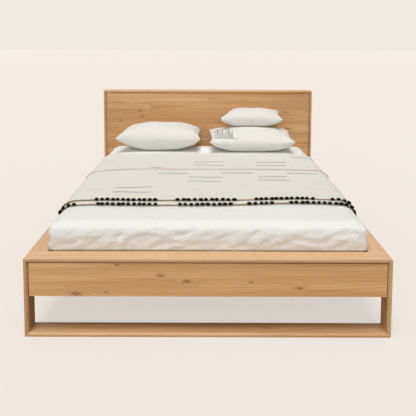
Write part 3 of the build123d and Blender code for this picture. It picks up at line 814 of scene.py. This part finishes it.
def add_braid(throw, tan):
    """The tan cord sewn along both free edges, thicker and thinner as a hand-made one is."""
    lines = []
    for number, edge in enumerate((throw.lower_edge, throw.upper_edge)):
        line = []
        for share in shares(320):
            across = throw.flat_width * (share - 0.5) * 0.998
            wobble = noise.noise(Vector((across * 40.0, number * 9.0, 0.0)))
            place = throw.edge_point(edge, across) + Vector((0, -0.001 + 0.002 * wobble, 0.0005))
            line.append((place, 1.0 + 0.5 * wobble))
        lines.append(line)
    return thread("throw_edge_braid", lines, 0.0022, tan)


def add_seam(throw, tan):
    """The tan seam across the throw: its thread thickens here and there, and to the right."""
    line = []
    for number, share in enumerate(shares(420)):
        from_middle = throw.flat_width * (share - 0.5)
        across = from_middle * 0.998
        pulled = noise.noise(Vector((across * 6.0, 3.0, 0.0)))
        width = 0.70 + 0.9 * max(0.0, pulled) + 0.15 * math.sin(number * 1.9)
        width += 0.30 * smooth(from_middle / 0.4)
        place = throw.top_point(across, throw.seam_line(across)) + Vector((0, 0, 0.0006))
        line.append((place, width))
    return thread("throw_seam_stitch", [line], 0.0030, tan, 6)


# Woven grey dashes on the upper layer: distance across from, to, and y. Most lie in pairs.
DASHES = (
    (-0.10, 0.11, 0.239), (-0.10, 0.11, 0.145), (0.33, 0.54, 0.246), (0.33, 0.53, 0.152),
    (-0.32, -0.12, -0.103), (0.08, 0.29, -0.083), (0.50, 0.70, -0.077), (-0.12, 0.09, -0.192),
    (-0.12, 0.08, -0.292), (0.31, 0.49, -0.173), (0.30, 0.50, -0.262), (-0.53, -0.32, -0.437),
    (-0.53, -0.32, -0.545), (-0.38, -0.30, 0.065), (0.60, 0.76, 0.419),
)


def add_dashes(throw, grey):
    """Each dash is two strands of thread side by side."""
    lines = []
    for number, (start, end, y) in enumerate(DASHES):
        for strand in (-1, 1):
            line = []
            for step_number, share in enumerate(shares(24)):
                across = start + (end - start) * share
                sway = 0.010 * noise.noise(Vector((across * 5.0, number * 2.0, 0.0)))
                place = throw.top_point(across, y + sway + 0.0018 * strand)
                width = 1.0 if 0 < step_number < 24 else 0.4
                lift = 0.0004 + 0.0003 * math.sin(step_number * 2.1 + strand)
                line.append((place + Vector((0, 0, lift)), width))
            lines.append(line)
    return thread("throw_woven_dashes", lines, 0.0016, grey, 6)


def tuft(rng, centre, size, heading):
    """Points and faces of one woolly tuft, a spiky ball drawn out along its row."""
    ball = bmesh.new()
    bmesh.ops.create_icosphere(ball, subdivisions=3, radius=1.0)
    seed = Vector((rng.random(), rng.random(), rng.random())) * 50.0
    side = Vector((0, 0, 1)).cross(heading).normalized()
    rise = heading.cross(side)
    points = []
    for vertex in ball.verts:
        spike = noise.noise(vertex.co * 4.5 + seed)
        radius = 1.0 + 0.38 * spike + 0.12 * noise.noise(vertex.co * 11.0 + seed)
        local = vertex.co * radius
        turned = Vector((local.x * size[0], local.y * size[1], local.z * size[2]))
        points.append(centre + heading * turned.x + side * turned.y + rise * turned.z)
    faces = [[v.index for v in face.verts] for face in ball.faces]
    ball.free()
    return points, faces


# Groups of tufts: which edge (0 the lower layer's), and where along it each group runs.
TUFT_GROUPS = (
    (0, -0.850, -0.700), (0, -0.578, -0.277), (0, -0.147, 0.119), (0, 0.218, 0.338),
    (0, 0.438, 0.850),
    (1, -0.592, -0.283), (1, -0.161, 0.138), (1, 0.256, 0.561),
    (1, 0.669, 0.850),
)


def wool(name):
    """Black wool, matt and fuzzy."""
    g = Graph(name)
    fuzz = g.noise(g.place, 420.0, 3.0, 0.7)
    color = g.mix(fuzz, (0.0015, 0.0015, 0.0018, 1), (0.008, 0.0075, 0.0075, 1))
    return g.finish(color, 1.0, g.bump(fuzz, 0.0012, 1.0), Specular_IOR_Level=0.15)


def add_tufts(throw):
    """Woolly tufts in groups along the throw's two free edges."""
    rng = random.Random(11)
    points, faces = [], []
    pitch = 0.0285
    for row, start, end in TUFT_GROUPS:
        edge = (throw.lower_edge, throw.upper_edge)[row]
        count = max(2, round((end - start) / pitch) + 1)
        for number in range(count):
            across = start + (end - start) * number / (count - 1) + rng.uniform(-0.003, 0.003)
            place = throw.edge_point(edge, across)
            ahead = throw.edge_point(edge, across + 0.01)
            behind = throw.edge_point(edge, across - 0.01)
            heading = (ahead - behind).normalized()
            heading = (heading + Vector((0, rng.uniform(-0.25, 0.25), 0))).normalized()
            size = (rng.uniform(0.0100, 0.0125), rng.uniform(0.0075, 0.0095), 0.0070)
            centre = place + Vector((0, -0.003 + rng.uniform(-0.002, 0.002), 0.0045))
            new_points, new_faces = tuft(rng, centre, size, heading)
            base = len(points)
            points += new_points
            faces += [[base + v for v in face] for face in new_faces]
    tufts = new_object("throw_tufts", points, faces, wool("black_wool"))
    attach(tufts, ROOT)
    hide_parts("pompom_trim")
    return tufts


def make_throw(under):
    throw = Throw(under)
    tan = yarn("tan_thread", TAN, 0.7)
    grey = yarn("grey_thread", (0.27, 0.27, 0.26))
    trims = [add_braid(throw, tan), add_seam(throw, tan), add_dashes(throw, grey),
             add_tufts(throw)]


def pillow_form(name, size, material, seed, corner_rise, tuck):
    """Two panels sewn round the edge, flat on the XY plane: a full lens with drawn-out corners.

    corner_rise is a share of the thickness; tuck draws the back left corner inwards.
    """
    width, length, thick = size
    step = 0.013
    columns, rows = round(width / step), round(length / step)
    side_pull = 0.035
    points, faces, index = [], [], {}

    def point(side, i, j):
        rim = i in (0, columns) or j in (0, rows)
        key = (0 if rim else side, i, j)
        if key not in index:
            u, v = 2 * i / columns - 1, 2 * j / rows - 1
            pull_x = 1.0 - side_pull * (1 - v * v) * abs(u) ** 3
            pull_y = 1.0 - side_pull * (1 - u * u) * abs(v) ** 3
            crown = (1 - abs(u) ** 2.2) ** 0.66 * (1 - abs(v) ** 2.0) ** 0.58
            lump = 1.0 + 0.10 * noise.noise(Vector((u * 1.6, v * 1.6, seed + side)))
            low_rim = -0.10 * thick * (1.0 - 0.8 * abs(u) ** 3)
            rise = side * thick / 2 * crown * lump + corner_rise * thick * (u * v) ** 4 + low_rim
            tucked = tuck * max(0.0, -u) * smooth((v + 1) / 2)
            index[key] = len(points)
            points.append(Vector((u * width / 2 * pull_x + tucked, v * length / 2 * pull_y, rise)))
        return index[key]

    for side in (1, -1):
        for i in range(columns):
            for j in range(rows):
                quad = [point(side, i, j), point(side, i + 1, j),
                        point(side, i + 1, j + 1), point(side, i, j + 1)]
                faces.append(quad if side > 0 else quad[::-1])
    return new_object(name, points, faces, material)


def crumple(pillow, low, high, seed):
    """Soft creases over a pillow, and short puckers where the cloth meets its seam."""
    points, normals = read_points(pillow), read_normals(pillow)
    middle, half = (low + high) / 2, (high - low) / 2
    for number, (p, n) in enumerate(zip(points, normals)):
        u, v = (p[0] - middle.x) / half.x, (p[1] - middle.y) / half.y
        rim = smooth((max(abs(u), abs(v)) - 0.62) / 0.3)
        broad = ridged((p[0], p[1] + 0.5 * p[2]), 2.6, 6.5, 0.5 + 0.1 * seed, seed)
        along_seam = p[1] if abs(u) > abs(v) else p[0]
        pucker = noise.noise(Vector((along_seam * 34.0, seed, n[2] * 0.6)))
        small = noise.noise(Vector((p[0] * 16.0, p[1] * 16.0, p[2] * 22.0 + seed)))
        lift = 0.0045 * (broad - 0.6) + 0.0032 * rim * pucker + 0.0016 * small
        points[number] = p + n * lift
    write_points(pillow, points)


def press_down(pillow, floor_height, soft=0.008):
    """Flatten the pillow's underside softly against the height that it rests on."""
    points = read_points(pillow)
    for number, p in enumerate(points):
        floor_here = floor_height(p[0], p[1])
        below = floor_here + soft - p[2]
        if below > 0:
            points[number][2] = floor_here + soft * math.exp(-below / soft)
    write_points(pillow, points)


def make_pillow(name, node, tilt, seed, floor_height, sink, corner_rise, tuck=0.0,
                wrap_edge=None):
    """Fill out a sewn pillow, tilt it, fit it to the node's box and press it where it rests."""
    low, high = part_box(node)
    box = high - low
    slope = math.radians(tilt)
    thick = box.z + sink
    deep = box.y / math.cos(slope) * 0.99
    linen = cloth(f"{name}_linen", PILLOW_WHITE, 0.0018, 0.0004, 0.95, 0.0010, 0.25, 0.3,
                  wrap_edge=wrap_edge)
    pillow = pillow_form(name, (box.x, deep, thick), linen, seed, corner_rise, tuck)
    start = read_points(pillow)
    simulate(pillow, 16, pressure=2.5, stiff=14.0, bend=0.08, mass=0.2, quality=5,
             growth=(np.ones(len(start)), 0.030))
    most_swell = 0.014
    points = start + capped(read_points(pillow) - start, most_swell)
    turned = points.copy()
    turned[:, 1] = points[:, 1] * math.cos(slope) - points[:, 2] * math.sin(slope)
    turned[:, 2] = points[:, 1] * math.sin(slope) + points[:, 2] * math.cos(slope)
    size = turned.max(axis=0) - turned.min(axis=0)
    turned *= np.array([box.x, box.y, thick]) / size
    turned[:, 0] += low.x - turned[:, 0].min()
    turned[:, 1] += high.y - turned[:, 1].max()
    turned[:, 2] += high.z - turned[:, 2].max()
    write_points(pillow, turned)
    subdivide(pillow)
    crumple(pillow, low, high, seed)
    press_down(pillow, floor_height)
    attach(pillow, ROOT)
    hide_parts(node)
    return pillow


def add_strokes(tree):
    """A loose row of upright embroidered strokes on the right pillow, with one line below.

    tree holds the pillow's surface.
    """
    rng = random.Random(5)
    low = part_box("right_pillow")[0]
    left, base = low.x + 0.060, low.z + 0.110
    count, pitch = 17, 0.0082
    lines = []

    def on_face(x, z):
        hit = tree.ray_cast(Vector((x, low.y - 0.5, z)), Vector((0, 1, 0)))[0]
        return hit + Vector((0, -0.0006, 0)) if hit else None

    for number in range(count):
        x = left + pitch * number + rng.uniform(-0.003, 0.003)
        tall = rng.uniform(0.022, 0.060)
        lean = rng.uniform(-0.005, 0.005)
        places = [on_face(x + lean * share, base + tall * share) for share in shares(12)]
        lines.append([(place, 1.0) for place in places if place])
    reach = pitch * count + 0.030
    places = [on_face(left - 0.006 + reach * share, base - 0.003) for share in shares(30)]
    lines.append([(place, 0.9) for place in places if place])
    ink = yarn("grey_embroidery", (0.16, 0.16, 0.165))
    thread("right_pillow_embroidery", lines, 0.0016, ink, 6)


def make_bedding():
    """All the soft pieces, from the mattress up."""
    make_mattress()
    duvet = make_duvet()
    make_throw(duvet)
    thicken(duvet, 0.008, -1.0)

    def bed_top(x, y):
        return DUVET_HIGH.z - 0.004

    make_pillow("left_sleeping_pillow", "left_pillow", 1.5, 1.0, bed_top, 0.024, 0.0, 0.050)
    lower = make_pillow("right_sleeping_pillow", "right_pillow", 4.0, 5.0, bed_top, 0.024, 0.09)
    tree = BVHTree.FromObject(lower, bpy.context.evaluated_depsgraph_get())
    add_strokes(tree)

    def lower_top(x, y):
        hit = tree.ray_cast(Vector((x, y, 2.0)), Vector((0, 0, -1)))[0]
        return (hit.z if hit else DUVET_HIGH.z) + 0.0015

    make_pillow("small_accent_pillow", "small_pillow", 8.0, 9.0, lower_top, 0.020, 0.08, 0.085,
                wrap_edge=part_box("small_pillow")[0].x)


make_bedding()


# ---------------------------------------------------------------------------------------------
# Floor, light and camera
# ---------------------------------------------------------------------------------------------
BACKDROP = (0.871, 0.815, 0.753, 1)


def floor_material():
    """Pale matte floor that the camera sees brighter than the light it gives off."""
    g = Graph("pale_floor")
    mottle = g.noise(g.place, 1.5, 3.0)
    color = g.mix(mottle, (0.215, 0.20, 0.185, 1), (0.22, 0.205, 0.19, 1))
    ray = g.add("ShaderNodeLightPath").outputs["Is Camera Ray"]
    glow = g.fade(ray, 0.0, 1.0, 0.06, 0.71)
    return g.finish(color, 0.9, Emission_Color=BACKDROP, Emission_Strength=glow)


def make_floor():
    reach, drop = 60.0, -0.0005
    corners = [(x, y, drop) for x, y in ((-reach, -reach), (reach, -reach), (reach, reach),
                                         (-reach, reach))]
    floor = new_object("studio_floor", corners, [(0, 1, 2, 3)], floor_material())


def make_lamp(name, strength, spread, toward):
    """A distant soft source: strength in W/m2, spread in degrees, and where it stands."""
    light = bpy.data.lights.new(name, "SUN")
    light.energy = strength
    light.angle = math.radians(spread)
    lamp = bpy.data.objects.new(name, light)
    lamp.rotation_euler = Vector(toward).to_track_quat("Z", "Y").to_euler()
    scene.collection.objects.link(lamp)
    return light


def make_light():
    """A pale backdrop all round, a broad key overhead, and a low front fill about half as strong."""
    world = bpy.data.worlds.new("studio")
    world.use_nodes = True
    g = Nodes(world.node_tree)
    fill = g.add("ShaderNodeBackground", {"Color": (1.0, 0.905, 0.80, 1), "Strength": 0.32})
    shown = g.add("ShaderNodeBackground", {"Color": BACKDROP})
    ray = g.add("ShaderNodeLightPath").outputs
    seen = {0: ray["Is Camera Ray"], 1: ray["Is Glossy Ray"]}
    either = g.add("ShaderNodeMath", seen, operation="MAXIMUM")
    mixed = {0: either.outputs[0], 1: fill.outputs[0], 2: shown.outputs[0]}
    mix = g.add("ShaderNodeMixShader", mixed)
    g.add("ShaderNodeOutputWorld", {"Surface": mix.outputs[0]})
    scene.world = world
    key = make_lamp("overhead_key", 1.98, 30, (-0.06, -0.22, 1.0))
    key.color = (0.985, 0.99, 0.985)
    make_lamp("front_fill", 0.96, 50, (-0.15, -1.0, 0.33))


def make_camera():
    """Camera before the foot, 1.4 m up and pitched 5 degrees down; a lens shift does the rest."""
    data = bpy.data.cameras.new("photo_view")
    data.sensor_width = 36.0
    data.lens = 50.1
    data.shift_y = -0.288
    camera = bpy.data.objects.new("photo_view", data)
    foot_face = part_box("foot_top_board")[0].y
    camera.location = (-0.010, foot_face - 2.592, 1.398)
    pitch, yaw, roll = math.radians(5.06), math.radians(0.13), math.radians(0.23)
    upright = Matrix.Rotation(math.radians(90) - pitch, 3, "X")
    turned = Matrix.Rotation(-yaw, 3, "Z") @ upright @ Matrix.Rotation(roll, 3, "Z")
    camera.rotation_euler = turned.to_euler()
    scene.collection.objects.link(camera)
    scene.camera = camera


make_floor()
make_light()
make_camera()
scene.view_settings.view_transform = "Standard"
